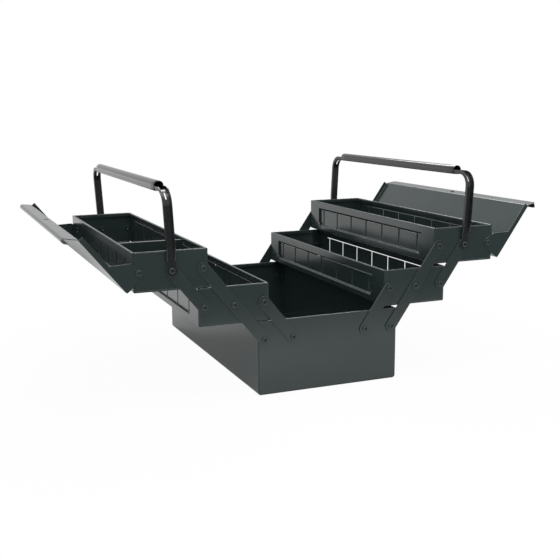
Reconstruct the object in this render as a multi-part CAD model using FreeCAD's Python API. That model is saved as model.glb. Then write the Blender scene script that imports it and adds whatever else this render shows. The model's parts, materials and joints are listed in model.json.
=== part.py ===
"""Cantilever tool box of folded sheet steel, standing open.

X is the width, Y the length and Z up, in millimetres. The origin is the middle of the base's underside.
Each side is modelled on the +X side and mirrored for the left.
"""

import FreeCAD, Part
import math
import os
from FreeCAD import Vector

os.makedirs("parts", exist_ok=True)

# Sheet, folds and fits
sheet = 1.0
hem_gap = 1.3
hem_depth = 6.0
weld_gap = 0.1
tray_fold_radius = 2.0
base_fold_radius = 4.0
corner_fold_radius = 1.5
return_flange = 11.0
cut_overrun = 1.0
corner_share = 0.8

# Box and trays
box_length = 430.0
base_height = 105.0
tray_height = 52.6
tray_pivot_height = 26.4
tray_pivot_inset = 7.7
stack_clearance = 0.3
centre_gap = 5.4
left_lift_angle = 0.0
right_lift_angle = 4.2

# Pressed divider bays in the long walls of the trays
bay_count = 6
bay_row_inset = 52.4
bay_gap = 3.6
bay_depth = 3.0
bay_foot_height = 9.0
bay_slope_height = 1.8
bay_top_height = 41.5
outer_bay_top_slit = 0.3
left_inner_bay_top_slit = -1.2
right_inner_bay_top_slit = 3.6
end_strip_length = 10.0
end_slot_width = 4.4
end_slot_foot_height = 14.7

# Arms
link_length = 68.0
link_spacing = 42.3
arm_width = 16.5
arm_thickness = 1.8
arm_edge_round = 0.4
base_pivot_inset = 9.2
layer_gap = 0.2

# Rivets
shank_radius = 2.6
pivot_clearance = 0.06
rivet_head_radius = 4.3
rivet_head_height = 1.8
rivet_head_round = 1.1
rivet_dimple_radius = 1.9
rivet_dimple_depth = 1.1
rivet_tail_radius = 4.2
rivet_tail_height = 1.3

# Lids
lid_length_clearance = 0.2
lid_plate_width = 93.0
lid_pivot_along = 9.9
lid_pivot_depth = 28.9
lid_pivot_inset = 7.5
lid_skirt_depth = 9.2
lid_skirt_end_gap = 2.0
lid_fold_radius = 1.6
lid_flange_depth = 7.0
lid_ear_radius = 6.6
lid_ear_foot = 42.0
lid_ear_shoulder = 26.0
lid_lip_width = 15.2
lid_lip_corner_radius = 13.0
lid_lip_angle = 44.0
lid_curl_radius = 3.6
lid_curl_return = 4.5
lock_hole_radius = 4.5
lock_hole_place = 7.3
left_lid_open_angle = 51.0
right_lid_open_angle = 55.0

# Handles
handle_reach = 101.4
strap_width = 12.0
strap_web = 1.5
strap_flange = 1.2
strap_edge_round = 1.5
strap_depth = 5.5
strap_bend_radius = 17.0
strap_eye_radius = 7.5
strap_flange_start = 12.0
strap_flange_taper = 22.0
strap_slot_width = 2.2
strap_slot_length = 8.0
grip_length = 370.0
grip_width = 14.0
grip_height = 13.0
grip_wall = 0.8
grip_clearance = 0.1
grip_corner_radius = 2.2
left_handle_lean_angle = 3.0
right_handle_lean_angle = 3.0

# Divider
divider_bay_line = -2
divider_sheet = 1.0
divider_height = 48.0
divider_fold = 5.0
divider_clearance = 0.3

# Places worked out from the sizes above
half_length = box_length / 2
tray_width = 2 * (link_spacing + tray_pivot_inset)
link_rise = tray_height + stack_clearance
link_reach = math.sqrt(link_length**2 - link_rise**2)
base_pivot_place = centre_gap + tray_width / 2 + link_reach
base_width = 2 * (base_pivot_place + base_pivot_inset)
base_pivot = Vector(base_pivot_place, 0, base_height - tray_height + tray_pivot_height)
top_pivot_offset = tray_width / 2 - link_reach
spacing = Vector(link_spacing, 0, 0)
bay_row = box_length - 2 * bay_row_inset
bay_pitch = bay_row / bay_count

# Layers outward from an end plate's face
arm_face = half_length + layer_gap
arm_outside = arm_face + arm_thickness
strap_face = arm_outside + layer_gap
lid_flange_face = half_length + lid_length_clearance
lid_flange_outside = lid_flange_face + sheet

front_and_rear = (-1, 1)


class Side:
    """The pivots and tray corners of one side, as on the +X side, with its links lifted above their stop."""

    def __init__(self, name, lift, lid_angle, lean):
        self.name = name
        self.lid_angle = lid_angle
        self.lean = lean
        angle = math.atan2(link_rise, link_reach) + math.radians(lift)
        step = Vector(math.cos(angle), 0, math.sin(angle)) * link_length
        self.middle_pivot = base_pivot + step
        self.top_pivot = self.middle_pivot + step
        self.handle_pivot = self.top_pivot + spacing
        self.middle_corner = self.middle_pivot - Vector(tray_width / 2, 0, tray_pivot_height)
        self.top_corner = self.top_pivot - Vector(top_pivot_offset, 0, tray_pivot_height)
        self.lid_pivot = self.top_corner + Vector(tray_width - lid_pivot_inset, 0, tray_pivot_height)


def save(name, shape):
    """Writes one node as a STEP file."""
    shape.exportStep("parts/" + name + ".step")


def box(low, high):
    """A box between two corners."""
    size = high - low
    return Part.makeBox(size.x, size.y, size.z, low)


def outline_face(points):
    """A flat face inside a closed run of straight edges."""
    return Part.Face(Part.makePolygon(list(points) + [points[0]]))


def strip_side(points, radii, offset, to_space):
    """Edges of one side of a bent strip: the run through the points, moved by offset to its left."""
    edges = []
    last = None
    for index, point in enumerate(points):
        before = (points[index] - points[index - 1]).normalize() if index else None
        after = (points[index + 1] - point).normalize() if index + 1 < len(points) else None
        if before is None or after is None:
            along = after if before is None else before
            stops = [point + left_of(along) * offset]
        else:
            stops = bend_stops(point, before, after, radii[index - 1], offset)
        if last is not None and (stops[0] - last).Length > tiny_edge:
            edges.append(Part.LineSegment(to_space(last), to_space(stops[0])).toShape())
        if len(stops) == 3 and (stops[2] - stops[0]).Length > tiny_edge:
            edges.append(Part.Arc(*[to_space(stop) for stop in stops]).toShape())
        last = stops[-1]
    return edges


def left_of(direction):
    """The unit direction a quarter turn to the left, in the strip's own plane."""
    return Vector(-direction.y, direction.x, 0)


def bend_stops(point, before, after, radius, offset):
    """Start, middle and end of a rounded corner of one side of a strip."""
    turn = before.x * after.y - before.y * after.x
    half_turn = math.atan2(turn, before.dot(after)) / 2
    side = 1 if turn > 0 else -1
    tangent = radius * math.tan(abs(half_turn))
    start = point - before * tangent
    centre = start + left_of(before) * (side * radius)
    arm = radius - side * offset
    first = centre - left_of(before) * (side * arm)
    final = centre - left_of(after) * (side * arm)
    middle_way = (left_of(before) + left_of(after)).normalize()
    return [first, centre - middle_way * (side * arm), final]


tiny_edge = sheet / 1000


def strip_face(points, radii, low, high, to_space):
    """A flat face between two offsets of a run of points with rounded corners."""
    right = strip_side(points, radii, low, to_space)
    left = strip_side(points, radii, high, to_space)
    caps = []
    for place in (0, -1):
        along = (points[1] - points[0] if place == 0 else points[-1] - points[-2]).normalize()
        ends = [to_space(points[place] + left_of(along) * offset) for offset in (low, high)]
        caps.append(Part.LineSegment(*ends).toShape())
    return Part.Face(Part.Wire(Part.__sortEdges__(right + left + caps)))


def in_xz(y):
    """Maps a strip's plane to the XZ plane at a given Y."""
    return lambda p: Vector(p.x, y, p.y)


def in_yz(x):
    """Maps a strip's plane to the YZ plane at a given X."""
    return lambda p: Vector(x, p.x, p.y)


def rim_run(wall_middle, inward, height):
    """Points of a rim's hem, from its free edge up, over and onto the wall."""
    layer = sheet + hem_gap
    crown = height - sheet / 2
    return [
        Vector(wall_middle + inward * layer, height - hem_depth, 0),
        Vector(wall_middle + inward * layer, crown, 0),
        Vector(wall_middle, crown, 0),
    ]


def folded_shell(width, height, fold_radius):
    """Floor and two long walls folded from one sheet, with hemmed rims; its corner is at X = 0, Z = 0."""
    middle = sheet / 2
    hem_radius = (sheet + hem_gap) / 2
    first = rim_run(middle, 1, height)
    second = rim_run(width - middle, -1, height)
    points = first + [Vector(middle, middle, 0), Vector(width - middle, middle, 0)] + second[::-1]
    radii = [hem_radius, hem_radius, fold_radius - middle, fold_radius - middle, hem_radius, hem_radius]
    end = half_length - sheet - weld_gap
    section = strip_face(points, radii, -middle, middle, in_xz(-end))
    return section.extrude(Vector(0, 2 * end, 0))


def end_plate(width, height, fold_radius, pivots):
    """Front end plate with a hemmed top, a floor flange and two side flanges, drilled at its pivots."""
    middle = sheet / 2
    hem_radius = (sheet + hem_gap) / 2
    seat = sheet + weld_gap
    outer = -half_length + middle
    layer = sheet + hem_gap
    crown = height - middle
    hem_edge = rim_inside = seat + hem_gap + sheet
    points = [
        Vector(outer + layer, height - hem_depth, 0),
        Vector(outer + layer, crown, 0),
        Vector(outer, crown, 0),
        Vector(outer, seat + middle, 0),
        Vector(outer + return_flange, seat + middle, 0),
    ]
    radii = [hem_radius, hem_radius, corner_fold_radius - middle]
    panel = strip_face(points, radii, -middle, middle, in_yz(rim_inside))
    panel = panel.extrude(Vector(width - 2 * rim_inside, 0, 0))
    flange_top = height - hem_depth - weld_gap
    cheek_top = height - hem_radius
    shape = panel
    for side in (0, 1):
        low_x = seat if side == 0 else width - seat
        inward = 1 if side == 0 else -1
        corner_run = [
            Vector(low_x + inward * hem_edge, outer, 0),
            Vector(low_x + inward * middle, outer, 0),
            Vector(low_x + inward * middle, outer + return_flange, 0),
        ]
        flange = strip_face(corner_run, [corner_fold_radius - middle], -middle, middle, lambda p: Vector(p.x, p.y, 0))
        floor_top = seat + sheet + weld_gap
        flange.translate(Vector(0, 0, floor_top))
        tall = flange.extrude(Vector(0, 0, cheek_top - floor_top))
        keep_low = box(
            Vector(0, -half_length, 0),
            Vector(width, -half_length + return_flange + cut_overrun, flange_top),
        )
        keep_front = box(Vector(0, -half_length, 0), Vector(width, -half_length + sheet, cheek_top))
        shape = shape.fuse(tall.common(keep_low.fuse(keep_front)))
    shape = shape.removeSplitter()
    corner = fold_radius + weld_gap
    for low_x in (0, width - corner):
        notch = box(
            Vector(low_x, -half_length + sheet, 0),
            Vector(low_x + corner, -half_length + return_flange + cut_overrun, corner),
        )
        shape = shape.cut(notch)
    for pivot in pivots:
        shape = shape.cut(pivot_hole(pivot))
    return shape


def pivot_hole(pivot):
    """A drill through everything at one end of the box, at a pivot."""
    length = 2 * (return_flange + sheet)
    start = Vector(pivot.x, -half_length - length / 2, pivot.z)
    return Part.makeCylinder(shank_radius + pivot_clearance, length, start, Vector(0, 1, 0))


def bay_panel(start, length, wall_face, inward, slit):
    """One pressed bay: a flap sloping in from the wall at its foot and standing free at its top."""
    deep = wall_face + inward * (bay_depth + sheet / 2)
    middle = wall_face + inward * sheet / 2
    run = [
        Vector(middle, bay_foot_height - sheet, 0),
        Vector(middle, bay_foot_height, 0),
        Vector(deep, bay_foot_height + bay_slope_height, 0),
        Vector(deep, bay_top_height - slit, 0),
    ]
    section = strip_face(run, [sheet, sheet], -sheet / 2, sheet / 2, in_xz(start))
    return section.extrude(Vector(0, length, 0))


def bayed_shell(inner_slit):
    """A tray's shell with a row of pressed bays, and a narrow strip and a slot past each end of the row."""
    shape = folded_shell(tray_width, tray_height, tray_fold_radius)
    strip_start = (bay_row + bay_gap) / 2
    strip_end = strip_start + end_strip_length
    slot_end = strip_end + end_slot_width
    windows = [
        (-strip_end, strip_end, bay_foot_height),
        (-slot_end, -strip_end, end_slot_foot_height),
        (strip_end, slot_end, end_slot_foot_height),
    ]
    flaps = [(-strip_end, end_strip_length), (strip_start, end_strip_length)]
    for index in range(bay_count):
        flaps.append((index * bay_pitch - (bay_row - bay_gap) / 2, bay_pitch - bay_gap))
    for wall_face, inward, slit in ((0, 1, inner_slit), (tray_width, -1, outer_bay_top_slit)):
        outside = wall_face - inward * cut_overrun
        inside = wall_face + inward * (sheet + hem_gap / 2)
        for start, end, foot in windows:
            low = Vector(min(outside, inside), start, foot)
            shape = shape.cut(box(low, Vector(max(outside, inside), end, bay_top_height)))
        for start, length in flaps:
            shape = shape.fuse(bay_panel(start, length, wall_face, inward, slit))
    return shape.removeSplitter()


def arm(first, last, pivots):
    """A flat arm with rounded ends at the front of the box, drilled at its pivots."""
    along = last - first
    radius = arm_width / 2
    across = along.cross(Vector(0, 1, 0)).normalize() * radius
    direction = Vector(along).normalize() * radius
    corners = [first + across, last + across, last - across, first - across]
    edges = [
        Part.LineSegment(corners[0], corners[1]).toShape(),
        Part.Arc(corners[1], last + direction, corners[2]).toShape(),
        Part.LineSegment(corners[2], corners[3]).toShape(),
        Part.Arc(corners[3], first - direction, corners[0]).toShape(),
    ]
    face = Part.Face(Part.Wire(edges))
    face.translate(Vector(0, -arm_outside, 0))
    shape = face.extrude(Vector(0, arm_thickness, 0))
    front_edges = [edge for edge in shape.Edges if edge.BoundBox.YMax < -arm_outside + arm_thickness / 2]
    shape = shape.makeFillet(arm_edge_round, front_edges)
    for pivot in pivots:
        shape = shape.cut(pivot_hole(pivot))
    return shape


def rivet(pivot, stack):
    """A tubular rivet through an end plate, with its head outside a stack of the given thickness."""
    out = Vector(0, -1, 0)
    under_head = half_length + stack
    head_start = Vector(pivot.x, -under_head, pivot.z)
    tail_start = Vector(pivot.x, -half_length + sheet, pivot.z)
    head = Part.makeCylinder(rivet_head_radius, rivet_head_height, head_start, out)
    crown = [edge for edge in head.Edges if edge.BoundBox.YMax < -under_head - rivet_head_height / 2]
    head = head.makeFillet(rivet_head_round, crown)
    shank = Part.makeCylinder(shank_radius, under_head - half_length + sheet, tail_start, out)
    tail = Part.makeCylinder(rivet_tail_radius, rivet_tail_height, tail_start, -out)
    dimple_start = head_start + out * (rivet_head_height - rivet_dimple_depth)
    dimple = Part.makeCylinder(rivet_dimple_radius, rivet_dimple_depth + cut_overrun, dimple_start, out)
    return head.fuse([shank, tail]).cut(dimple).removeSplitter()


def both_ends(shape):
    """A front solid and its mirror image at the rear."""
    return [shape, shape.mirror(Vector(0, 0, 0), Vector(0, 1, 0))]


def lid_profile_points():
    """The lid's bent run along its outer face: skirt, plate, lip and rolled edge."""
    slope = math.radians(-lid_lip_angle)
    lip = Vector(math.cos(slope), math.sin(slope), 0)
    back = Vector(math.sin(slope), -math.cos(slope), 0)
    middle = sheet / 2
    fold = Vector(lid_plate_width, middle, 0)
    lip_end = fold + lip * (lid_lip_width + lid_curl_radius - middle)
    turned = lip_end + back * (2 * (lid_curl_radius - middle))
    finish = turned - lip * (lid_curl_return + lid_curl_radius - middle)
    return [Vector(middle, lid_skirt_depth, 0), Vector(middle, middle, 0), fold, lip_end, turned, finish]


def lid_ear_outline():
    """The end flange with its hinge ear, in the lid's own plane."""
    fold_end = lid_plate_width - sheet
    return [
        Vector(0, sheet, 0),
        Vector(0, lid_skirt_depth, 0),
        Vector(lid_pivot_along - lid_ear_radius, lid_pivot_depth, 0),
        Vector(lid_pivot_along, lid_pivot_depth + lid_ear_radius, 0),
        Vector(lid_ear_shoulder, lid_pivot_depth, 0),
        Vector(lid_ear_foot, lid_flange_depth, 0),
        Vector(fold_end, lid_flange_depth, 0),
        Vector(fold_end, sheet, 0),
    ]


def lip_corner_tool(lip, normal, end):
    """What is cut away to round one outer corner of the lip."""
    round_off = lid_lip_corner_radius
    deep = 2 * lid_curl_radius + cut_overrun
    tip = Vector(lid_plate_width, 0, sheet / 2) + lip * (lid_lip_width + lid_curl_radius)
    centre = tip - lip * round_off + Vector(0, end * (half_length - round_off), 0) - normal * deep
    out = round_off + cut_overrun
    across = Vector(0, end * out, 0)
    along = lip * out
    square = outline_face([centre, centre + along, centre + along + across, centre + across])
    solid = square.extrude(normal * (2 * deep))
    return solid.cut(Part.makeCylinder(round_off, 2 * deep, centre, normal))


def lid_in_plane():
    """A lid lying with its plate's outer face at Z = 0, its inside up and its skirt at X = 0."""
    middle = sheet / 2
    run = lid_profile_points()
    curl = lid_curl_radius - middle
    radii = [lid_fold_radius, lid_fold_radius, curl, curl]
    section = strip_face(run, radii, -middle, middle, in_xz(-half_length))
    shape = section.extrude(Vector(0, box_length, 0))
    slope = math.radians(-lid_lip_angle)
    lip = Vector(math.cos(slope), 0, math.sin(slope))
    normal = Vector(math.sin(slope), 0, -math.cos(slope))
    hole_centre = Vector(lid_plate_width, 0, middle) + lip * lock_hole_place
    hole_length = lid_curl_radius
    hole = Part.makeCylinder(lock_hole_radius, hole_length, hole_centre - normal * (hole_length / 2), normal)
    shape = shape.cut(hole)
    for end in front_and_rear:
        shape = shape.cut(lip_corner_tool(lip, normal, end))
    flange = outline_face([Vector(p.x, -lid_flange_outside, p.y) for p in lid_ear_outline()])
    flange = flange.extrude(Vector(0, sheet, 0))
    boss_start = Vector(lid_pivot_along, -lid_flange_outside, lid_pivot_depth)
    flange = flange.fuse(Part.makeCylinder(lid_ear_radius, sheet, boss_start, Vector(0, 1, 0)))
    bridge = box(
        Vector(lid_skirt_end_gap, -lid_flange_outside, 0),
        Vector(lid_plate_width - sheet, -half_length, sheet),
    )
    edge_line = [edge for edge in bridge.Edges if edge.BoundBox.YMax < -half_length - sheet and edge.BoundBox.ZMax < middle]
    bridge = bridge.makeFillet(sheet * corner_share, edge_line)
    flange = flange.removeSplitter().fuse(bridge)
    flange = flange.cut(Part.makeCylinder(
        shank_radius + pivot_clearance, 2 * sheet + box_length, boss_start - Vector(0, sheet, 0), Vector(0, 1, 0)
    ))
    return shape.fuse(both_ends(flange)).removeSplitter()


def lid(side):
    """One side's lid, opened by its angle above the horizontal about the lid pivot."""
    shape = lid_in_plane()
    shape.translate(Vector(-lid_pivot_along, 0, -lid_pivot_depth))
    shape.rotate(Vector(0, 0, 0), Vector(0, -1, 0), side.lid_angle)
    shape.translate(side.lid_pivot)
    return shape


def handle_run(reach, side):
    """The strap's inner line from one eye, over the top, to the other eye."""
    return [Vector(-side, 0, 0), Vector(-side, reach, 0), Vector(side, reach, 0), Vector(side, 0, 0)]


def strap_inner_edges(shape, half):
    """The two long edges of a strap that face into the U."""
    found = []
    for edge in shape.Edges:
        middle = edge.valueAt((edge.FirstParameter + edge.LastParameter) / 2)
        on_side = abs(abs(middle.x) - half) < tiny_edge
        if on_side and edge.Length > strap_depth and near_strap_line(middle):
            found.append(edge)
    return found


def near_strap_line(point):
    """Whether a point lies on the strap's inner line."""
    y = abs(point.y)
    if point.z < handle_reach - strap_bend_radius:
        return abs(y - strap_face) < tiny_edge
    if y < strap_face - strap_bend_radius:
        return abs(point.z - handle_reach) < tiny_edge
    centre = Vector(0, strap_face - strap_bend_radius, handle_reach - strap_bend_radius)
    return abs((Vector(0, y, point.z) - centre).Length - strap_bend_radius) < tiny_edge


def strap(side):
    """One side's handle strap: a channel bent into a U, with its flanges outward and flat eyes."""
    run = handle_run(handle_reach, strap_face)
    radii = [strap_bend_radius, strap_bend_radius]
    half = strap_width / 2
    web = strip_face(run, radii, 0, strap_web, in_yz(-half)).extrude(Vector(strap_width, 0, 0))
    flanges = []
    for low in (-half, half - strap_flange):
        flange = strip_face(run, radii, 0, strap_depth, in_yz(low)).extrude(Vector(strap_flange, 0, 0))
        flanges.append(flange)
    shape = web.fuse(flanges).removeSplitter()
    shape = shape.makeFillet(strap_edge_round, strap_inner_edges(shape, half))
    wedge = outline_face([
        Vector(-strap_width, -strap_face - strap_web, -cut_overrun),
        Vector(-strap_width, -strap_face - strap_web, strap_flange_start),
        Vector(-strap_width, -strap_face - strap_depth - cut_overrun, strap_flange_start + strap_flange_taper),
        Vector(-strap_width, -strap_face - strap_depth - cut_overrun, -cut_overrun),
    ]).extrude(Vector(2 * strap_width, 0, 0))
    eye_start = Vector(0, -strap_face - strap_web, 0)
    eye = Part.makeCylinder(strap_eye_radius, strap_web, eye_start, Vector(0, 1, 0))
    drill_start = eye_start - Vector(0, strap_depth, 0)
    drill_length = 2 * strap_depth + strap_web
    drill = Part.makeCylinder(shank_radius + pivot_clearance, drill_length, drill_start, Vector(0, 1, 0))
    slot_top = handle_reach - strap_web
    slot = box(
        Vector(-strap_slot_width / 2, -strap_face - strap_depth, slot_top - strap_slot_length),
        Vector(strap_slot_width / 2, -strap_face + strap_bend_radius, slot_top),
    )
    shape = shape.cut(both_ends(wedge)).fuse(both_ends(eye)).cut(both_ends(drill) + both_ends(slot))
    return lean_over(shape.removeSplitter(), side)


def grip_section(inset):
    """The grip's outline: flat below, half round on top, drawn in by an inset."""
    half = grip_width / 2 - inset
    low = handle_reach - grip_clearance - grip_wall + inset
    spring = handle_reach - grip_clearance - grip_wall + grip_height - grip_width / 2
    corner = grip_corner_radius - inset
    y = -grip_length / 2
    points = [Vector(half, spring, 0), Vector(half, low, 0), Vector(-half, low, 0), Vector(-half, spring, 0)]
    sides = strip_side(points, [corner, corner], 0, in_xz(y))
    top = Part.Arc(Vector(-half, y, spring), Vector(0, y, spring + half), Vector(half, y, spring)).toShape()
    return Part.Face(Part.Wire(Part.__sortEdges__(sides + [top])))


def grip(side):
    """One side's grip: a sleeve rolled round the strap's top."""
    length = Vector(0, grip_length, 0)
    shape = grip_section(0).extrude(length).cut(grip_section(grip_wall).extrude(length))
    return lean_over(shape, side)


def lean_over(shape, side):
    """Tips a handle piece outward about one side's handle pivot and puts it there."""
    shape = shape.copy()
    shape.rotate(Vector(0, 0, 0), Vector(0, 1, 0), side.lean)
    shape.translate(side.handle_pivot)
    return shape


def divider(side):
    """A sheet divider for one side's top tray, with a stiffening fold along its top edge."""
    reach = tray_width / 2 - sheet - hem_gap - sheet - divider_clearance
    floor = sheet + divider_clearance
    top = floor + divider_height
    y = divider_bay_line * bay_pitch
    plate = box(Vector(-reach, y - divider_sheet / 2, floor), Vector(reach, y + divider_sheet / 2, top))
    narrow = tray_width / 2 - sheet - bay_depth - sheet - divider_clearance
    fold = box(
        Vector(-narrow, y - divider_sheet / 2, top - divider_sheet),
        Vector(narrow, y - divider_sheet / 2 + divider_fold, top),
    )
    shape = plate.fuse(fold).removeSplitter()
    shape.translate(side.top_corner + Vector(tray_width / 2, 0, 0))
    return shape


def placed(shape, corner):
    """A copy of a shape moved to a tray's corner."""
    moved = shape.copy()
    moved.translate(corner)
    return moved


def save_side(name, side, shape):
    """Writes a right-hand shape, mirrored if it is for the left."""
    if side.name == "left":
        shape = shape.mirror(Vector(0, 0, 0), Vector(1, 0, 0))
    save(side.name + "_" + name, shape)


def save_ends(name, side, shape):
    """Writes a front solid and its mirror image at the rear as two nodes."""
    for end, solid in zip(("front", "rear"), both_ends(shape)):
        save_side(name + "_" + end, side, solid)


def build_base():
    """The base: shell, two end plates and eight pivot rivets."""
    corner = Vector(-base_width / 2, 0, 0)
    save("base_shell", placed(folded_shell(base_width, base_height, base_fold_radius), corner))
    inner = base_pivot - spacing
    pivots = [base_pivot, inner]
    everywhere = pivots + [Vector(-pivot.x, 0, pivot.z) for pivot in pivots]
    drilled = [pivot - corner for pivot in everywhere]
    plate = placed(end_plate(base_width, base_height, base_fold_radius, drilled), corner)
    for end, solid in zip(("front", "rear"), both_ends(plate)):
        save("base_end_" + end, solid)
    stack = arm_outside - half_length + layer_gap
    rivets = [solid for pivot in everywhere for solid in both_ends(rivet(pivot, stack))]
    save("base_rivets", Part.makeCompound(rivets))


def build_trays(side, shell):
    """The two trays of one side, with their end plates and fixed rivets."""
    stack = arm_outside - half_length + layer_gap
    lid_stack = lid_flange_outside - half_length + layer_gap
    middle_pivots = [side.middle_pivot - spacing, side.middle_pivot, side.middle_pivot + spacing]
    top_pivots = [side.top_pivot, side.handle_pivot, side.lid_pivot]
    trays = (("middle", side.middle_corner, middle_pivots), ("top", side.top_corner, top_pivots))
    for name, corner, pivots in trays:
        save_side(name + "_tray_shell", side, placed(shell, corner))
        drilled = [pivot - corner for pivot in pivots]
        save_ends(name + "_tray_end", side, placed(end_plate(tray_width, tray_height, tray_fold_radius, drilled), corner))
    middle_rivets = [solid for pivot in middle_pivots for solid in both_ends(rivet(pivot, stack))]
    save_side("middle_tray_rivets", side, Part.makeCompound(middle_rivets))
    top_rivets = both_ends(rivet(side.top_pivot, stack)) + both_ends(rivet(side.lid_pivot, lid_stack))
    save_side("top_tray_rivets", side, Part.makeCompound(top_rivets))
    handle_stack = strap_face + strap_web - half_length + layer_gap
    save_side("handle_rivets", side, Part.makeCompound(both_ends(rivet(side.handle_pivot, handle_stack))))


def build_arms(side):
    """The six arms of one side."""
    long_pivots = [base_pivot, side.middle_pivot, side.top_pivot]
    save_ends("long_arm", side, arm(base_pivot, side.top_pivot, long_pivots))
    lower = [base_pivot - spacing, side.middle_pivot - spacing]
    save_ends("lower_arm", side, arm(lower[0], lower[1], lower))
    upper = [side.middle_pivot + spacing, side.handle_pivot]
    save_ends("upper_arm", side, arm(upper[0], upper[1], upper))


def build_side(side, shell):
    """Everything on one side of the base."""
    build_trays(side, shell)
    build_arms(side)
    save_side("lid", side, lid(side))
    save_side("handle_strap", side, strap(side))
    save_side("handle_grip", side, grip(side))


left = Side("left", left_lift_angle, left_lid_open_angle, left_handle_lean_angle)
right = Side("right", right_lift_angle, right_lid_open_angle, right_handle_lean_angle)
build_base()
build_side(left, bayed_shell(left_inner_bay_top_slit))
build_side(right, bayed_shell(right_inner_bay_top_slit))
save_side("top_tray_divider", left, divider(left))
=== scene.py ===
import json
import math

import bpy
import numpy as np
from mathutils import Matrix, Vector


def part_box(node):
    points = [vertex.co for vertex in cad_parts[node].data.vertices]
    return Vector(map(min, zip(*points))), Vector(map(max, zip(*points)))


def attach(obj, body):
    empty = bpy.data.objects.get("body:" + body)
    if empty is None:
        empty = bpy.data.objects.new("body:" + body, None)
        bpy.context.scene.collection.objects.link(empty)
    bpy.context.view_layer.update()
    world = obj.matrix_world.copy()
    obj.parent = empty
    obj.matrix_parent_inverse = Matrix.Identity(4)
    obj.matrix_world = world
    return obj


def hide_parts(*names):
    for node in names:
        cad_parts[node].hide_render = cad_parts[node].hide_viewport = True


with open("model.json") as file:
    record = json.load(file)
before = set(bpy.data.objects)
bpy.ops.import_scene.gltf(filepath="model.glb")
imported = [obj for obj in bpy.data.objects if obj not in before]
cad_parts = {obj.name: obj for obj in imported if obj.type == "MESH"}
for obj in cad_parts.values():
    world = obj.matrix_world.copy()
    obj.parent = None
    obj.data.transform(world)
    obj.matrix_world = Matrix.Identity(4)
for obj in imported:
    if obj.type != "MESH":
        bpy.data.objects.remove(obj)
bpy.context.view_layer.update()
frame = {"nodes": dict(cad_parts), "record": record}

bl_info = {
    "name": "Cantilever tool box",
    "version": (1, 0, 0),
    "blender": (4, 5, 0),
    "location": "View3D > Sidebar > Tool box",
    "description": "Dresses a packed cantilever tool box of folded, enamelled sheet steel",
    "category": "Object",
}

MILLIMETRE = 0.001
WHITE = (1.0, 1.0, 1.0)

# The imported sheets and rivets

SHEET = 1.0 * MILLIMETRE
HEAD_CLEARANCE = 0.2 * MILLIMETRE
PACKED_HEAD_HEIGHT = 1.8 * MILLIMETRE

# A turned rivet's small curves; the shares are of its head's height, its hollow's radius and its stack

LIP_RADIUS = 0.3 * MILLIMETRE
ROLL_RADIUS = 0.62 * MILLIMETRE
AXIS_RADIUS = 0.02 * MILLIMETRE
CROWN_SHARE = 0.62
FOOT_HEIGHT_SHARE = 0.1
FOOT_WIDTH_SHARE = 0.05
DISH_RADIUS_SHARE = 0.8
DISH_DEPTH_SHARES = (0.5, 0.45, 0.35)
LIP_POINTS = 5
CROWN_POINTS = 9
ROLL_POINTS = 9
TURNED_SEGMENTS = 32

# A grip's sleeve; the groove's shares are of the flank's top, of the height and of half the width

GRIP_WIDTH = 14.0 * MILLIMETRE
GRIP_HEIGHT = 13.0 * MILLIMETRE
GRIP_CORNER = 2.2 * MILLIMETRE
GROOVE_PLACE_SHARE = 0.92
GROOVE_WIDTH_SHARE = 0.16
GROOVED_SIDE_SHARE = 0.9
ROUND_POINTS = 33
CORNER_POINTS = 7
FLANK_POINTS = 16
RIM_POINTS = 7
LENGTH_POINTS = 25

# Widths and heights of the marks on the enamel

SPECK_WIDTH = 0.9 * MILLIMETRE
# the edges' lightening, broken up at this width, is thin paint and partly a painted highlight
EDGE_WEAR_AND_HIGHLIGHT_WIDTH = 9 * MILLIMETRE
# the rims' lightening, broken up at this width, is a painted highlight on their upper side, partly rubbed
# paint
RIM_RUB_AND_HIGHLIGHT_WIDTH = 14 * MILLIMETRE
FOLD_RADIUS = 0.45 * MILLIMETRE
EDGE_REACH = 0.8 * MILLIMETRE
RIM_REACH = 2.2 * MILLIMETRE
RIPPLE_HEIGHT = 0.9 * MILLIMETRE
RIPPLE_STRENGTH = 0.55
BUCKLE_HEIGHT_SHARE = 0.55
PEEL_HEIGHT_SHARE = 0.012
PATCH_WIDTH_SHARE = 0.6

# Where the edges' and rims' lightening starts and is full, a painted highlight that is partly thin or rubbed
# paint: by how alike the rounded and true directions are, or how far up one points

EDGE_BEND = (0.995, 0.80)
RIM_BEND = (0.985, 0.87)
RIM_UPWARD = (0.15, 0.6)

# The marks' tones, as levels of the enamel's own colour, shares of another one and changes of roughness

PATCH_DARK, PATCH_PALE = 0.86, 1.16
SPECK_STOPS = [(0.70, 0.0), (0.78, 1.0)]
EDGE_SHARE = 0.55
DUST_SHARE = 0.05
# the upper rims' pale colour and its spread: a painted highlight, partly paint rubbed to bare metal
RIM_RUB_AND_HIGHLIGHT_LEAST, RIM_RUB_AND_HIGHLIGHT_SPREAD = 0.55, 0.9
RIM_RUB_AND_HIGHLIGHT_COLOUR = (0.42, 0.44, 0.44)
DUST_COLOUR = (0.30, 0.31, 0.30)
PATCH_ROUGHNESS, SPECK_ROUGHNESS, EDGE_ROUGHNESS = 0.07, 0.12, 0.08
SMOOTHEST = -0.03
ENAMEL_IOR = 1.6

# The stage, in metres from the middle of the base's underside; a fade runs from one number to the other

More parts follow.
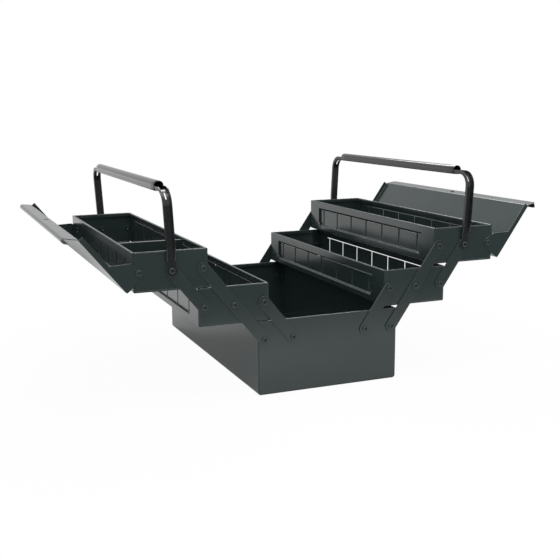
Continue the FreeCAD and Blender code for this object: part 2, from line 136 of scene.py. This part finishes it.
FLOOR_REACH = 12.0
FLOOR_COLOUR = (0.9, 0.9, 0.9)
SHADOW_FADE = (0.45, 0.95)
FRONT_FADE = (-0.45, -0.75)
REAR_FADE = (0.45, 0.75)
RIGHT_FADE = (-0.30, -0.20)
LIT_MIDDLE = (0.0, 0.0, 0.15)
OVERHEAD_PLACE = (-0.3, -0.5, 1.9)
OVERHEAD_SIZE = (0.9, 0.9)
RIM_LIGHT_PLACE = (1.1, 2.7, 2.9)
RIM_LIGHT_SIZE = (2.2, 1.6)
SENSOR_WIDTH = 36.0

# How white the sheets mirror the floor, how dark the room beyond is and how bright the surround; 1 is white

MIRRORED_NEAR, MIRRORED_FAR = 0.30, 0.55
REAR_ROOM_SHARE = 0.97
ROOM_LEVEL = 0.06
SKY_LIGHT, SKY_SEEN, SKY_MIRRORED = 0.50, 0.50, 0.25


# Sizes and colours that a user would change


class ToolBoxEnamel(bpy.types.PropertyGroup):
    """The dark baked enamel on every sheet."""

    tray_colour: bpy.props.FloatVectorProperty(
        name="Tray colour",
        description="Enamel on the base, trays and lids",
        subtype="COLOR",
        size=3,
        min=0,
        max=1,
        default=(0.032, 0.048, 0.048),
    )
    arm_colour: bpy.props.FloatVectorProperty(
        name="Arm colour",
        description="Enamel on the arms and rivets",
        subtype="COLOR",
        size=3,
        min=0,
        max=1,
        default=(0.032, 0.046, 0.046),
    )
    handle_colour: bpy.props.FloatVectorProperty(
        name="Handle colour",
        description="Enamel on the straps and grips",
        subtype="COLOR",
        size=3,
        min=0,
        max=1,
        default=(0.015, 0.0170, 0.0175),
    )
    roughness: bpy.props.FloatProperty(
        name="Roughness",
        description="Roughness of clean enamel",
        min=0,
        max=1,
        default=0.2,
    )
    peel: bpy.props.FloatProperty(
        name="Orange peel",
        description="Width of the enamel's fine ripples",
        subtype="DISTANCE",
        unit="LENGTH",
        default=1.4 * MILLIMETRE,
    )
    buckle: bpy.props.FloatProperty(
        name="Buckle",
        description="Width of the slow waves that folding leaves in thin sheet",
        subtype="DISTANCE",
        unit="LENGTH",
        default=75 * MILLIMETRE,
    )


class ToolBoxFittings(bpy.types.PropertyGroup):
    """Rivets and grips, which stand for the plain CAD ones."""

    head_radius: bpy.props.FloatProperty(
        name="Head radius",
        description="Outer radius of a rivet's head",
        subtype="DISTANCE",
        unit="LENGTH",
        default=4.3 * MILLIMETRE,
    )
    head_height: bpy.props.FloatProperty(
        name="Head height",
        description="How far a rivet's head stands out",
        subtype="DISTANCE",
        unit="LENGTH",
        default=1.8 * MILLIMETRE,
    )
    shank_radius: bpy.props.FloatProperty(
        name="Shank radius",
        description="Radius of a rivet where it passes the sheets",
        subtype="DISTANCE",
        unit="LENGTH",
        default=2.6 * MILLIMETRE,
    )
    hollow_radius: bpy.props.FloatProperty(
        name="Hollow radius",
        description="Radius of the hole down a rivet's middle",
        subtype="DISTANCE",
        unit="LENGTH",
        default=2.1 * MILLIMETRE,
    )
    tail_radius: bpy.props.FloatProperty(
        name="Tail radius",
        description="Outer radius of a rivet's rolled tail",
        subtype="DISTANCE",
        unit="LENGTH",
        default=4.2 * MILLIMETRE,
    )
    grip_wall: bpy.props.FloatProperty(
        name="Grip wall",
        description="Thickness of the grip's rolled sheet",
        subtype="DISTANCE",
        unit="LENGTH",
        default=0.8 * MILLIMETRE,
    )
    grip_groove: bpy.props.FloatProperty(
        name="Grip groove",
        description="Depth of the groove along each flank of the grip",
        subtype="DISTANCE",
        unit="LENGTH",
        default=0.45 * MILLIMETRE,
    )


class ToolBoxStage(bpy.types.PropertyGroup):
    """Camera and light."""

    camera_place: bpy.props.FloatVectorProperty(
        name="Camera place",
        description="Where the camera stands",
        subtype="TRANSLATION",
        unit="LENGTH",
        size=3,
        default=(-0.5316, -1.3102, 0.3929),
    )
    yaw: bpy.props.FloatProperty(
        name="Yaw",
        description="Turn of the view from the length toward the right",
        subtype="ANGLE",
        default=math.radians(22.65),
    )
    pitch: bpy.props.FloatProperty(
        name="Pitch",
        description="How far the camera looks down",
        subtype="ANGLE",
        default=math.radians(11.11),
    )
    roll: bpy.props.FloatProperty(
        name="Roll",
        description="Turn of the picture about the line of sight",
        subtype="ANGLE",
        default=math.radians(-0.28),
    )
    lens: bpy.props.FloatProperty(
        name="Lens",
        description="Focal length on a 36 mm sensor",
        min=1,
        default=57.34,
    )
    overhead: bpy.props.FloatProperty(
        name="Overhead lamp",
        description="Radiance of the soft box over the tool box; 1 is white",
        min=0,
        default=5.0,
    )
    rim_light: bpy.props.FloatProperty(
        name="Rim light",
        description="Radiance of the soft box behind the tool box",
        min=0,
        default=6.5,
    )
    shadow_share: bpy.props.FloatProperty(
        name="Shadow",
        description="Share of the floor's own shading that the camera sees near the tool box",
        min=0,
        max=1,
        default=0.03,
    )


# Shader nodes


class Value:
    """One socket of a node tree; a sum, difference or product of it adds a Math node."""

    def __init__(self, finish, socket):
        self.finish = finish
        self.socket = socket

    def maths(self, operation, first, second=0.0, clamp=False):
        settings = {"operation": operation, "use_clamp": clamp}
        return self.finish.add("ShaderNodeMath", settings, {0: first, 1: second})

    def __add__(self, other):
        return self.maths("ADD", self, other)

    def __radd__(self, other):
        return self.maths("ADD", other, self)

    def __sub__(self, other):
        return self.maths("SUBTRACT", self, other)

    def __rsub__(self, other):
        return self.maths("SUBTRACT", other, self)

    def __mul__(self, other):
        return self.maths("MULTIPLY", self, other)

    def __rmul__(self, other):
        return self.maths("MULTIPLY", other, self)

    def clamped(self):
        """The value held between 0 and 1."""
        return self.maths("ADD", self, 0.0, clamp=True)


class Finish:
    """A node tree being filled in, for a material or the world."""

    def __init__(self, owner):
        owner.use_nodes = True
        self.tree = owner.node_tree
        self.tree.nodes.clear()

    def add(self, kind, settings=None, sockets=None, output=0):
        """Adds a node: its settings are set first, then each socket gets a value or a link."""
        node = self.tree.nodes.new(kind)
        for name, setting in (settings or {}).items():
            if name == "stops":
                self.set_stops(node.color_ramp, setting)
            else:
                setattr(node, name, setting)
        for name, value in (sockets or {}).items():
            if isinstance(value, Value):
                self.tree.links.new(value.socket, node.inputs[name])
            else:
                node.inputs[name].default_value = value
        return Value(self, node.outputs[output]) if len(node.outputs) else node

    @staticmethod
    def set_stops(ramp, stops):
        """Gives a ramp its stops, each a place and a grey level."""
        while len(ramp.elements) < len(stops):
            ramp.elements.new(1.0)
        for element, (place, grey) in zip(ramp.elements, stops):
            element.position = place
            element.color = (grey, grey, grey, 1.0)

    def place(self):
        """Where a point is on the object, in metres."""
        return self.add("ShaderNodeTexCoord", output="Object")

    def noise(self, width, detail):
        """Soft noise from 0 to 1 whose features have the given width in metres."""
        sockets = {"Vector": self.place(), "Scale": 1.0 / width, "Detail": detail, "Roughness": 0.55}
        return self.add("ShaderNodeTexNoise", sockets=sockets)

    def fade(self, value, start, end):
        """0 up to the start, 1 from the end on and a straight line between; the end may be the lower."""
        return self.add("ShaderNodeMapRange", sockets={"Value": value, "From Min": start, "From Max": end})

    def mix_colour(self, share, first, second):
        """A colour between two others."""
        node = self.tree.nodes.new("ShaderNodeMix")
        node.data_type = "RGBA"
        for index, value in ((0, share), (6, first), (7, second)):
            if isinstance(value, Value):
                self.tree.links.new(value.socket, node.inputs[index])
            else:
                node.inputs[index].default_value = value if index == 0 else colour(value)
        return Value(self, node.outputs[2])

    def surface(self, shader):
        """Ends the tree with a shader for the surface."""
        self.add("ShaderNodeOutputMaterial", sockets={"Surface": shader})


def colour(rgb, level=1.0):
    """An opaque colour scaled by a level."""
    return tuple(level * channel for channel in tuple(rgb)[:3]) + (1.0,)


def rounded_normal(finish, radius, samples=6):
    """The surface's direction with its folds and edges rounded to a radius."""
    return finish.add("ShaderNodeBevel", {"samples": samples}, {"Radius": radius})


def true_normal(finish):
    """The direction of each flat facet."""
    return finish.add("ShaderNodeNewGeometry", output="True Normal")


def bend(finish, rounded, slight, sharp):
    """0 on flat sheet and 1 at a fold or edge, where the rounded direction leans most from the true one."""
    sockets = {0: rounded, 1: true_normal(finish)}
    likeness = finish.add("ShaderNodeVectorMath", {"operation": "DOT_PRODUCT"}, sockets, output="Value")
    return finish.fade(likeness, slight, sharp)


def worn_and_highlit_edges(finish):
    """1 where a fold or cut edge is near and 0 on flat sheet, broken up by noise; the enamel uses it to
    lighten edges, as thin paint and as a painted highlight.
    """
    edge = bend(finish, rounded_normal(finish, EDGE_REACH), *EDGE_BEND)
    return edge * finish.noise(EDGE_WEAR_AND_HIGHLIGHT_WIDTH, detail=5.0)


def rim_rub_and_highlight(finish):
    """About 1 on the upper side of hemmed rims and 0 elsewhere: a painted highlight where the rims face up
    toward the lamps, partly paint that trays and lids rub bright.
    """
    rim = bend(finish, rounded_normal(finish, RIM_REACH, samples=8), *RIM_BEND)
    up = finish.add("ShaderNodeSeparateXYZ", sockets={0: true_normal(finish)}, output="Z")
    broken = RIM_RUB_AND_HIGHLIGHT_LEAST + finish.noise(RIM_RUB_AND_HIGHLIGHT_WIDTH, detail=4.0) * RIM_RUB_AND_HIGHLIGHT_SPREAD
    return rim * finish.fade(up, *RIM_UPWARD) * broken


def enamel(name, rgb, roughness, peel, buckle, edge_level, rub_and_highlight_level):
    """Glossy baked enamel on sheet: slow buckles, fine orange peel, edges lightened as thin paint and painted
    highlight, upper rims lightened as painted highlight and rubbed paint, and a little dust.
    """
    material = bpy.data.materials.new(name)
    finish = Finish(material)
    slow = finish.noise(buckle, detail=1.0)
    patch = finish.noise(buckle * PATCH_WIDTH_SHARE, detail=4.0)
    fine = finish.noise(peel, detail=2.0)
    dots = finish.noise(SPECK_WIDTH, detail=3.0)
    speck = finish.add("ShaderNodeValToRGB", {"stops": SPECK_STOPS}, {"Fac": dots})
    edge = worn_and_highlit_edges(finish)
    rubbed_and_highlit = (rim_rub_and_highlight(finish) * rub_and_highlight_level).clamped()
    shade = finish.mix_colour(patch, colour(rgb, PATCH_DARK), colour(rgb, PATCH_PALE))
    # edges lightened: thin paint, and partly a painted highlight
    shade = finish.mix_colour(edge * EDGE_SHARE, shade, colour(rgb, edge_level))
    # upper rims lightened: a painted highlight, partly paint rubbed to bare metal
    shade = finish.mix_colour(rubbed_and_highlit, shade, RIM_RUB_AND_HIGHLIGHT_COLOUR)
    shade = finish.mix_colour(speck * DUST_SHARE, shade, DUST_COLOUR)
    gloss = roughness + patch * PATCH_ROUGHNESS + speck * SPECK_ROUGHNESS + edge * EDGE_ROUGHNESS + SMOOTHEST
    bump = finish.add(
        "ShaderNodeBump",
        sockets={
            "Height": slow * BUCKLE_HEIGHT_SHARE + fine * PEEL_HEIGHT_SHARE,
            "Distance": RIPPLE_HEIGHT,
            "Strength": RIPPLE_STRENGTH,
            "Normal": rounded_normal(finish, FOLD_RADIUS),
        },
    )
    shader = finish.add(
        "ShaderNodeBsdfPrincipled",
        sockets={
            "Base Color": shade,
            "Roughness": gloss,
            "Normal": bump,
            "IOR": ENAMEL_IOR,
        },
    )
    finish.surface(shader)
    return material


# Mesh helpers


def grid_faces(rows, columns, close_rows=False, close_columns=False):
    """Quads between the points of a grid, row by row."""
    row = np.arange(rows if close_rows else rows - 1)
    column = np.arange(columns if close_columns else columns - 1)
    row, column = np.meshgrid(row, column, indexing="ij")
    next_row = (row + 1) % rows
    next_column = (column + 1) % columns
    near, far = row * columns, next_row * columns
    corners = (near + column, near + next_column, far + next_column, far + column)
    return np.stack(corners, axis=-1).reshape(-1, 4)


def make_piece(name, points, faces, material, smooth=True):
    """A mesh object at the origin, in metres, from arrays of points and quads."""
    mesh = bpy.data.meshes.new(name)
    points = np.asarray(points, dtype=float).reshape(-1, 3)
    mesh.from_pydata(points.tolist(), [], np.asarray(faces).tolist())
    mesh.validate()
    mesh.update()
    if smooth:
        mesh.shade_smooth()
    else:
        mesh.shade_flat()
    mesh.materials.append(material)
    piece = bpy.data.objects.new(name, mesh)
    bpy.context.scene.collection.objects.link(piece)
    return piece


def arc(centre, radius, start, end, count):
    """Points of an arc, centre + radius * (cos, sin), from one angle to another in degrees, ends included."""
    angle = np.radians(np.linspace(start, end, count))
    return np.stack([centre[0] + radius * np.cos(angle), centre[1] + radius * np.sin(angle)], axis=-1)


def turned(profile, place, out):
    """A (radius, height) profile turned about a line along Y: place + (radius cos, height, radius sin)."""
    angle = np.linspace(0, 2 * math.pi, TURNED_SEGMENTS, endpoint=False)
    radius, height = profile[:, :1], profile[:, 1:]
    across = radius * np.cos(angle)
    along = np.broadcast_to(height * out, across.shape)
    up = radius * np.sin(angle) * -out
    points = np.array(place, dtype=float) + np.stack([across, along, up], axis=-1)
    return points.reshape(-1, 3), grid_faces(len(profile), TURNED_SEGMENTS, close_columns=True)


def join_grids(grids):
    """Points and faces of several grids as one pair."""
    starts = np.cumsum([0] + [len(points) for points, faces in grids])
    points = np.concatenate([points for points, faces in grids])
    faces = np.concatenate([grid[1] + start for start, grid in zip(starts, grids)])
    return points, faces


# Operators


def joint_place(name):
    """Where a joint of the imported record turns, in metres."""
    joint = next(joint for joint in frame["record"]["behaviour"]["joints"] if joint["name"] == name)
    return np.array(joint["pos_m"], dtype=float)


def body_of(node):
    """The body that carries a CAD node."""
    bodies = frame["record"]["behaviour"]["bodies"]
    return next(body for body, nodes in bodies.items() if node in nodes)


def material_for(finish):
    """The enamel of one of the record's material slots, or of the grips.

    Each choice is a colour, a roughness, the buckles' width, the edges' level, which lightens them as thin
    paint and painted highlight, and how strongly the upper rims get their painted highlight and rubbed paint.
    """
    made = bpy.data.materials.get("enamel_" + finish)
    if made is not None:
        return made
    settings = bpy.context.scene.tool_box_enamel
    tray, arm, handle = settings.tray_colour, settings.arm_colour, settings.handle_colour
    rough, buckle = settings.roughness, settings.buckle
    choices = {
        "box_paint": (tray, rough, buckle, 2.4, 1.0),
        "arm_paint": (arm, rough + 0.03, buckle, 2.4, 0.0),
        "handle_paint": (handle, rough + 0.06, buckle * 0.5, 5.0, 0.0),
        "rivet_paint": (arm, rough, buckle, 3.5, 0.0),
        "grip_paint": (handle, rough - 0.10, buckle, 3.0, 0.0),
        "divider_sheet": (tray, rough + 0.05, buckle, 3.2, 1.0),
    }
    rgb, roughness, width, edge_level, rub_and_highlight_level = choices[finish]
    return enamel("enamel_" + finish, rgb, roughness, settings.peel, width, edge_level, rub_and_highlight_level)


class TOOLBOX_OT_enamel(bpy.types.Operator):
    """Paint every sheet, arm and rivet that comes from the CAD model"""

    bl_idname = "toolbox.enamel"
    bl_label = "Enamel the sheets"

    def execute(self, context):
        slots = {part["node"]: part["material_slot"] for part in frame["record"]["subparts"]}
        for name, node in frame["nodes"].items():
            node.data.materials.clear()
            node.data.materials.append(material_for(slots[name]))
        return {"FINISHED"}


def rivet_profile(settings, stack):
    """A tubular rivet as (radius, height) from hollow head to hollow tail; the height is 0 under the head."""
    head, shank = settings.head_radius, settings.shank_radius
    hollow, tail = settings.hollow_radius, settings.tail_radius
    top, bottom = settings.head_height, -stack
    lip, roll, crown = LIP_RADIUS, ROLL_RADIUS, CROWN_SHARE * top
    middle, slope, edge = (share * bottom for share in DISH_DEPTH_SHARES)
    parts = [
        [(AXIS_RADIUS, middle), (DISH_RADIUS_SHARE * hollow, slope)],
        [(hollow, edge), (hollow, top - 2 * lip)],
        arc((hollow + lip, top - lip), lip, 180, 80, LIP_POINTS),
        arc((head - crown, top - crown), crown, 75, 0, CROWN_POINTS),
        [(head, FOOT_HEIGHT_SHARE * top), (head - FOOT_WIDTH_SHARE * top, 0.0)],
        [(shank, 0.0), (shank, bottom), (tail - roll, bottom)],
        arc((tail - roll, bottom - roll), roll, 80, -90, ROLL_POINTS),
        [(hollow + lip, bottom - 2 * roll), (hollow, bottom - 2 * roll + lip)],
        [(hollow, bottom + lip), (AXIS_RADIUS, bottom + lip)],
    ]
    return np.concatenate([np.asarray(part, dtype=float) for part in parts])


def rivet_places(side, group):
    """One node's rivets as (x, z, under) rows: each axis and how far out its heads' undersides stand."""
    rows = []
    for name in ("left", "right") if side == "base" else (side,):
        over_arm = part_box(name + "_long_arm_rear")[1][1] + HEAD_CLEARANCE
        over_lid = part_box(name + "_lid")[1][1] + HEAD_CLEARANCE
        over_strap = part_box(name + "_handle_rivets")[1][1] - PACKED_HEAD_HEIGHT
        swing, lower = joint_place(name + "_swing"), joint_place(name + "_lower_arms")
        middle, upper = joint_place(name + "_middle_tray"), joint_place(name + "_upper_arms")
        top, lid, handle = (joint_place(name + end) for end in ("_top_tray", "_lid", "_handle"))
        spots = {
            "rivets": [(swing, over_arm), (lower, over_arm)],
            "middle_tray_rivets": [(middle, over_arm), (upper, over_arm), (2 * middle - upper, over_arm)],
            "top_tray_rivets": [(top, over_arm), (lid, over_lid)],
            "handle_rivets": [(handle, over_strap)],
        }
        rows += [(place[0], place[2], under) for place, under in spots[group]]
    return rows


class TOOLBOX_OT_rivets(bpy.types.Operator):
    """Turn the hollow rivets at every pivot"""

    bl_idname = "toolbox.rivets"
    bl_label = "Rivets"

    def execute(self, context):
        settings = context.scene.tool_box_fittings
        plate_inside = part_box("base_end_rear")[1][1] - SHEET
        for node in [name for name in frame["nodes"] if name.endswith("rivets")]:
            side, group = node.split("_", 1)
            grids = []
            for x, z, under in rivet_places(side, group):
                profile = rivet_profile(settings, under - plate_inside)
                grids += [turned(profile, (x, out * under, z), out) for out in (-1, 1)]
            points, faces = join_grids(grids)
            piece = make_piece("turned_" + node, points, faces, material_for("rivet_paint"))
            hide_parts(node)
            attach(piece, body_of(node))
        return {"FINISHED"}


def grip_outline(groove):
    """The grip's closed outline: flat below and half round above.

    Each flank is pressed in by groove * exp(-away * away), a bell along its height.
    """
    half = GRIP_WIDTH / 2
    corner = GRIP_CORNER
    spring = GRIP_HEIGHT - half
    flank = np.linspace(corner, spring, FLANK_POINTS)[1:-1]
    parts = [
        arc((0.0, spring), half, 0, 180, ROUND_POINTS),
        np.stack([np.full_like(flank, -half), flank[::-1]], axis=-1),
        arc((corner - half, corner), corner, 180, 270, CORNER_POINTS),
        arc((half - corner, corner), corner, 270, 360, CORNER_POINTS),
        np.stack([np.full_like(flank, half), flank], axis=-1),
    ]
    outline = np.concatenate(parts)
    away = (outline[:, 1] - GROOVE_PLACE_SHARE * spring) / (GROOVE_WIDTH_SHARE * GRIP_HEIGHT)
    bell = np.exp(-(away**2)) * (np.abs(outline[:, 0]) > GROOVED_SIDE_SHARE * half)
    outline[:, 0] -= np.sign(outline[:, 0]) * groove * bell
    return outline


def grip_sleeve(settings, length):
    """A thin sleeve along Y: outside, round one end's rim, back inside and round the other rim.

    The run gives pairs of y and offset, and each point is the outline's own plus its outward normal * offset.
    """
    wall = settings.grip_wall
    half = length / 2
    outline = grip_outline(settings.grip_groove)
    along = np.roll(outline, -1, axis=0) - np.roll(outline, 1, axis=0)
    normal = np.stack([along[:, 1], -along[:, 0]], axis=-1)
    normal /= np.linalg.norm(normal, axis=1, keepdims=True)
    rim = arc((half - wall / 2, -wall / 2), wall / 2, 90, -90, RIM_POINTS)
    straight = np.linspace(-1, 1, LENGTH_POINTS)[1:-1] * (half - wall)
    outer = np.stack([straight, np.zeros_like(straight)], axis=-1)
    inner = np.stack([straight[::-1], np.full_like(straight, -wall)], axis=-1)
    far_rim = rim[::-1] * (-1, 1)
    run = np.concatenate([outer, rim, inner, far_rim])
    section = outline[None, :, :] + normal[None, :, :] * run[:, 1, None, None]
    y = np.broadcast_to(run[:, 0, None], section.shape[:2])
    points = np.stack([section[..., 0], y, section[..., 1]], axis=-1)
    return points.reshape(-1, 3), grid_faces(len(run), len(outline), close_rows=True, close_columns=True)


def raised(points, pivot, middle):
    """A sleeve's points lifted off a handle's pivot, then turned about it until they lie round a middle."""
    across, up = middle[0] - pivot[0], middle[2] - pivot[2]
    lean = math.atan2(across, up)
    height = points[:, 2] + (math.hypot(across, up) - GRIP_HEIGHT / 2)
    x = points[:, 0] * math.cos(lean) + height * math.sin(lean)
    z = height * math.cos(lean) - points[:, 0] * math.sin(lean)
    return np.stack([pivot[0] + x, points[:, 1], pivot[2] + z], axis=-1)


class TOOLBOX_OT_grips(bpy.types.Operator):
    """Roll the sleeves round the tops of the handles"""

    bl_idname = "toolbox.grips"
    bl_label = "Grips"

    def execute(self, context):
        settings = context.scene.tool_box_fittings
        for side in ("left", "right"):
            node = side + "_handle_grip"
            low, high = (np.array(corner, dtype=float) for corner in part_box(node))
            points, faces = grip_sleeve(settings, high[1] - low[1])
            points = raised(points, joint_place(side + "_handle"), (low + high) / 2)
            piece = make_piece("rolled_" + node, points, faces, material_for("grip_paint"))
            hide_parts(node)
            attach(piece, side + "_handle")
        return {"FINISHED"}


class TOOLBOX_OT_stage(bpy.types.Operator):
    """Set up the floor, the soft light and the camera"""

    bl_idname = "toolbox.stage"
    bl_label = "Set the stage"

    def execute(self, context):
        settings = context.scene.tool_box_stage
        context.scene.view_settings.view_transform = "Standard"
        make_floor(settings)
        make_sky()
        make_lamps(settings)
        make_camera(settings)
        return {"FINISHED"}


def make_floor(settings):
    """A white floor with a faint soft shadow; the sheets mirror it dark where the room begins round it."""
    material = bpy.data.materials.new("floor")
    finish = Finish(material)
    seen = finish.add("ShaderNodeLightPath", output="Is Camera Ray")
    glossy = finish.add("ShaderNodeLightPath", output="Is Glossy Ray")
    place = finish.place()
    distance = finish.add("ShaderNodeVectorMath", {"operation": "LENGTH"}, {0: place}, output="Value")
    across = finish.add("ShaderNodeSeparateXYZ", sockets={0: place}, output="X")
    along = finish.add("ShaderNodeSeparateXYZ", sockets={0: place}, output="Y")
    far = finish.fade(distance, *SHADOW_FADE)
    rear = finish.fade(along, *REAR_FADE) * finish.fade(across, *RIGHT_FADE)
    room = finish.fade(along, *FRONT_FADE) + rear * REAR_ROOM_SHARE
    white_to_camera = seen * ((1.0 - settings.shadow_share) + far * settings.shadow_share)
    white_to_sheets = glossy * (MIRRORED_NEAR + far * MIRRORED_FAR)
    dull = finish.add("ShaderNodeBsdfDiffuse", sockets={"Color": colour(FLOOR_COLOUR)})
    white = finish.add("ShaderNodeEmission", sockets={"Color": colour(WHITE), "Strength": 1.0})
    dark = finish.add("ShaderNodeEmission", sockets={"Color": colour(WHITE), "Strength": ROOM_LEVEL})
    share = (white_to_camera + white_to_sheets).clamped()
    lit = finish.add("ShaderNodeMixShader", sockets={0: share, 1: dull, 2: white})
    finish.surface(finish.add("ShaderNodeMixShader", sockets={0: glossy * room, 1: lit, 2: dark}))
    corners = [(x * FLOOR_REACH, y * FLOOR_REACH, 0.0) for x, y in ((-1, -1), (1, -1), (1, 1), (-1, 1))]
    floor = make_piece("floor", corners, [(0, 1, 2, 3)], material, smooth=False)


def make_sky():
    """A white surround: full white to the camera, and dimmer as light and in what the sheets mirror."""
    world = bpy.data.worlds.new("studio")
    bpy.context.scene.world = world
    finish = Finish(world)
    seen = finish.add("ShaderNodeLightPath", output="Is Camera Ray")
    glossy = finish.add("ShaderNodeLightPath", output="Is Glossy Ray")
    strength = SKY_LIGHT + seen * SKY_SEEN + glossy * SKY_MIRRORED
    light = finish.add("ShaderNodeBackground", sockets={"Color": colour(WHITE), "Strength": strength})
    finish.add("ShaderNodeOutputWorld", sockets={"Surface": light})


def add_lamp(name, place, size, radiance):
    """A soft box at a place, turned to the tool box; its power is pi times its area times its radiance."""
    width, height = size
    lamp = bpy.data.lights.new(name, "AREA")
    lamp.shape = "RECTANGLE"
    lamp.size = width
    lamp.size_y = height
    lamp.energy = math.pi * width * height * radiance
    body = bpy.data.objects.new(name, lamp)
    body.location = place
    body.rotation_euler = (Vector(LIT_MIDDLE) - Vector(place)).to_track_quat("-Z", "Y").to_euler()
    body.visible_camera = False
    bpy.context.scene.collection.objects.link(body)


def make_lamps(settings):
    """An overhead soft box, and a broad one high behind the box that lights its rims."""
    add_lamp("overhead", OVERHEAD_PLACE, OVERHEAD_SIZE, settings.overhead)
    add_lamp("rim_light", RIM_LIGHT_PLACE, RIM_LIGHT_SIZE, settings.rim_light)


def make_camera(settings):
    """The camera at the photograph's viewing angle."""
    camera = bpy.data.cameras.new("camera")
    camera.lens = settings.lens
    camera.sensor_width = SENSOR_WIDTH
    camera.sensor_fit = "HORIZONTAL"
    body = bpy.data.objects.new("camera", camera)
    turn = Matrix.Rotation(-settings.yaw, 4, "Z") @ Matrix.Rotation(math.pi / 2 - settings.pitch, 4, "X")
    turn = turn @ Matrix.Rotation(settings.roll, 4, "Z")
    body.matrix_world = Matrix.Translation(Vector(settings.camera_place)) @ turn
    bpy.context.scene.collection.objects.link(body)
    bpy.context.scene.camera = body


# Panel and registration


class TOOLBOX_PT_panel(bpy.types.Panel):
    """Buttons for each group of pieces"""

    bl_label = "Tool box"
    bl_idname = "TOOLBOX_PT_panel"
    bl_space_type = "VIEW_3D"
    bl_region_type = "UI"
    bl_category = "Tool box"

    def draw(self, context):
        for operator in OPERATORS:
            self.layout.operator(operator.bl_idname)
        for group in (getattr(context.scene, name) for name in GROUPS):
            box = self.layout.box()
            for name in group.bl_rna.properties.keys():
                if name not in ("rna_type", "name"):
                    box.prop(group, name)


OPERATORS = (TOOLBOX_OT_enamel, TOOLBOX_OT_rivets, TOOLBOX_OT_grips, TOOLBOX_OT_stage)
GROUPS = {
    "tool_box_enamel": ToolBoxEnamel,
    "tool_box_fittings": ToolBoxFittings,
    "tool_box_stage": ToolBoxStage,
}


def register():
    """Registers the groups, the operators and the panel, and gives every scene its settings."""
    for group in GROUPS.values():
        bpy.utils.register_class(group)
    for name, group in GROUPS.items():
        setattr(bpy.types.Scene, name, bpy.props.PointerProperty(type=group))
    for operator in OPERATORS:
        bpy.utils.register_class(operator)
    bpy.utils.register_class(TOOLBOX_PT_panel)


def unregister():
    """Takes back what register added."""
    bpy.utils.unregister_class(TOOLBOX_PT_panel)
    for operator in reversed(OPERATORS):
        bpy.utils.unregister_class(operator)
    for name, group in reversed(GROUPS.items()):
        delattr(bpy.types.Scene, name)
        bpy.utils.unregister_class(group)


def main():
    """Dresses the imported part."""
    register()
    bpy.ops.toolbox.enamel()
    bpy.ops.toolbox.rivets()
    bpy.ops.toolbox.grips()
    bpy.ops.toolbox.stage()


if __name__ == "__main__":
    main()
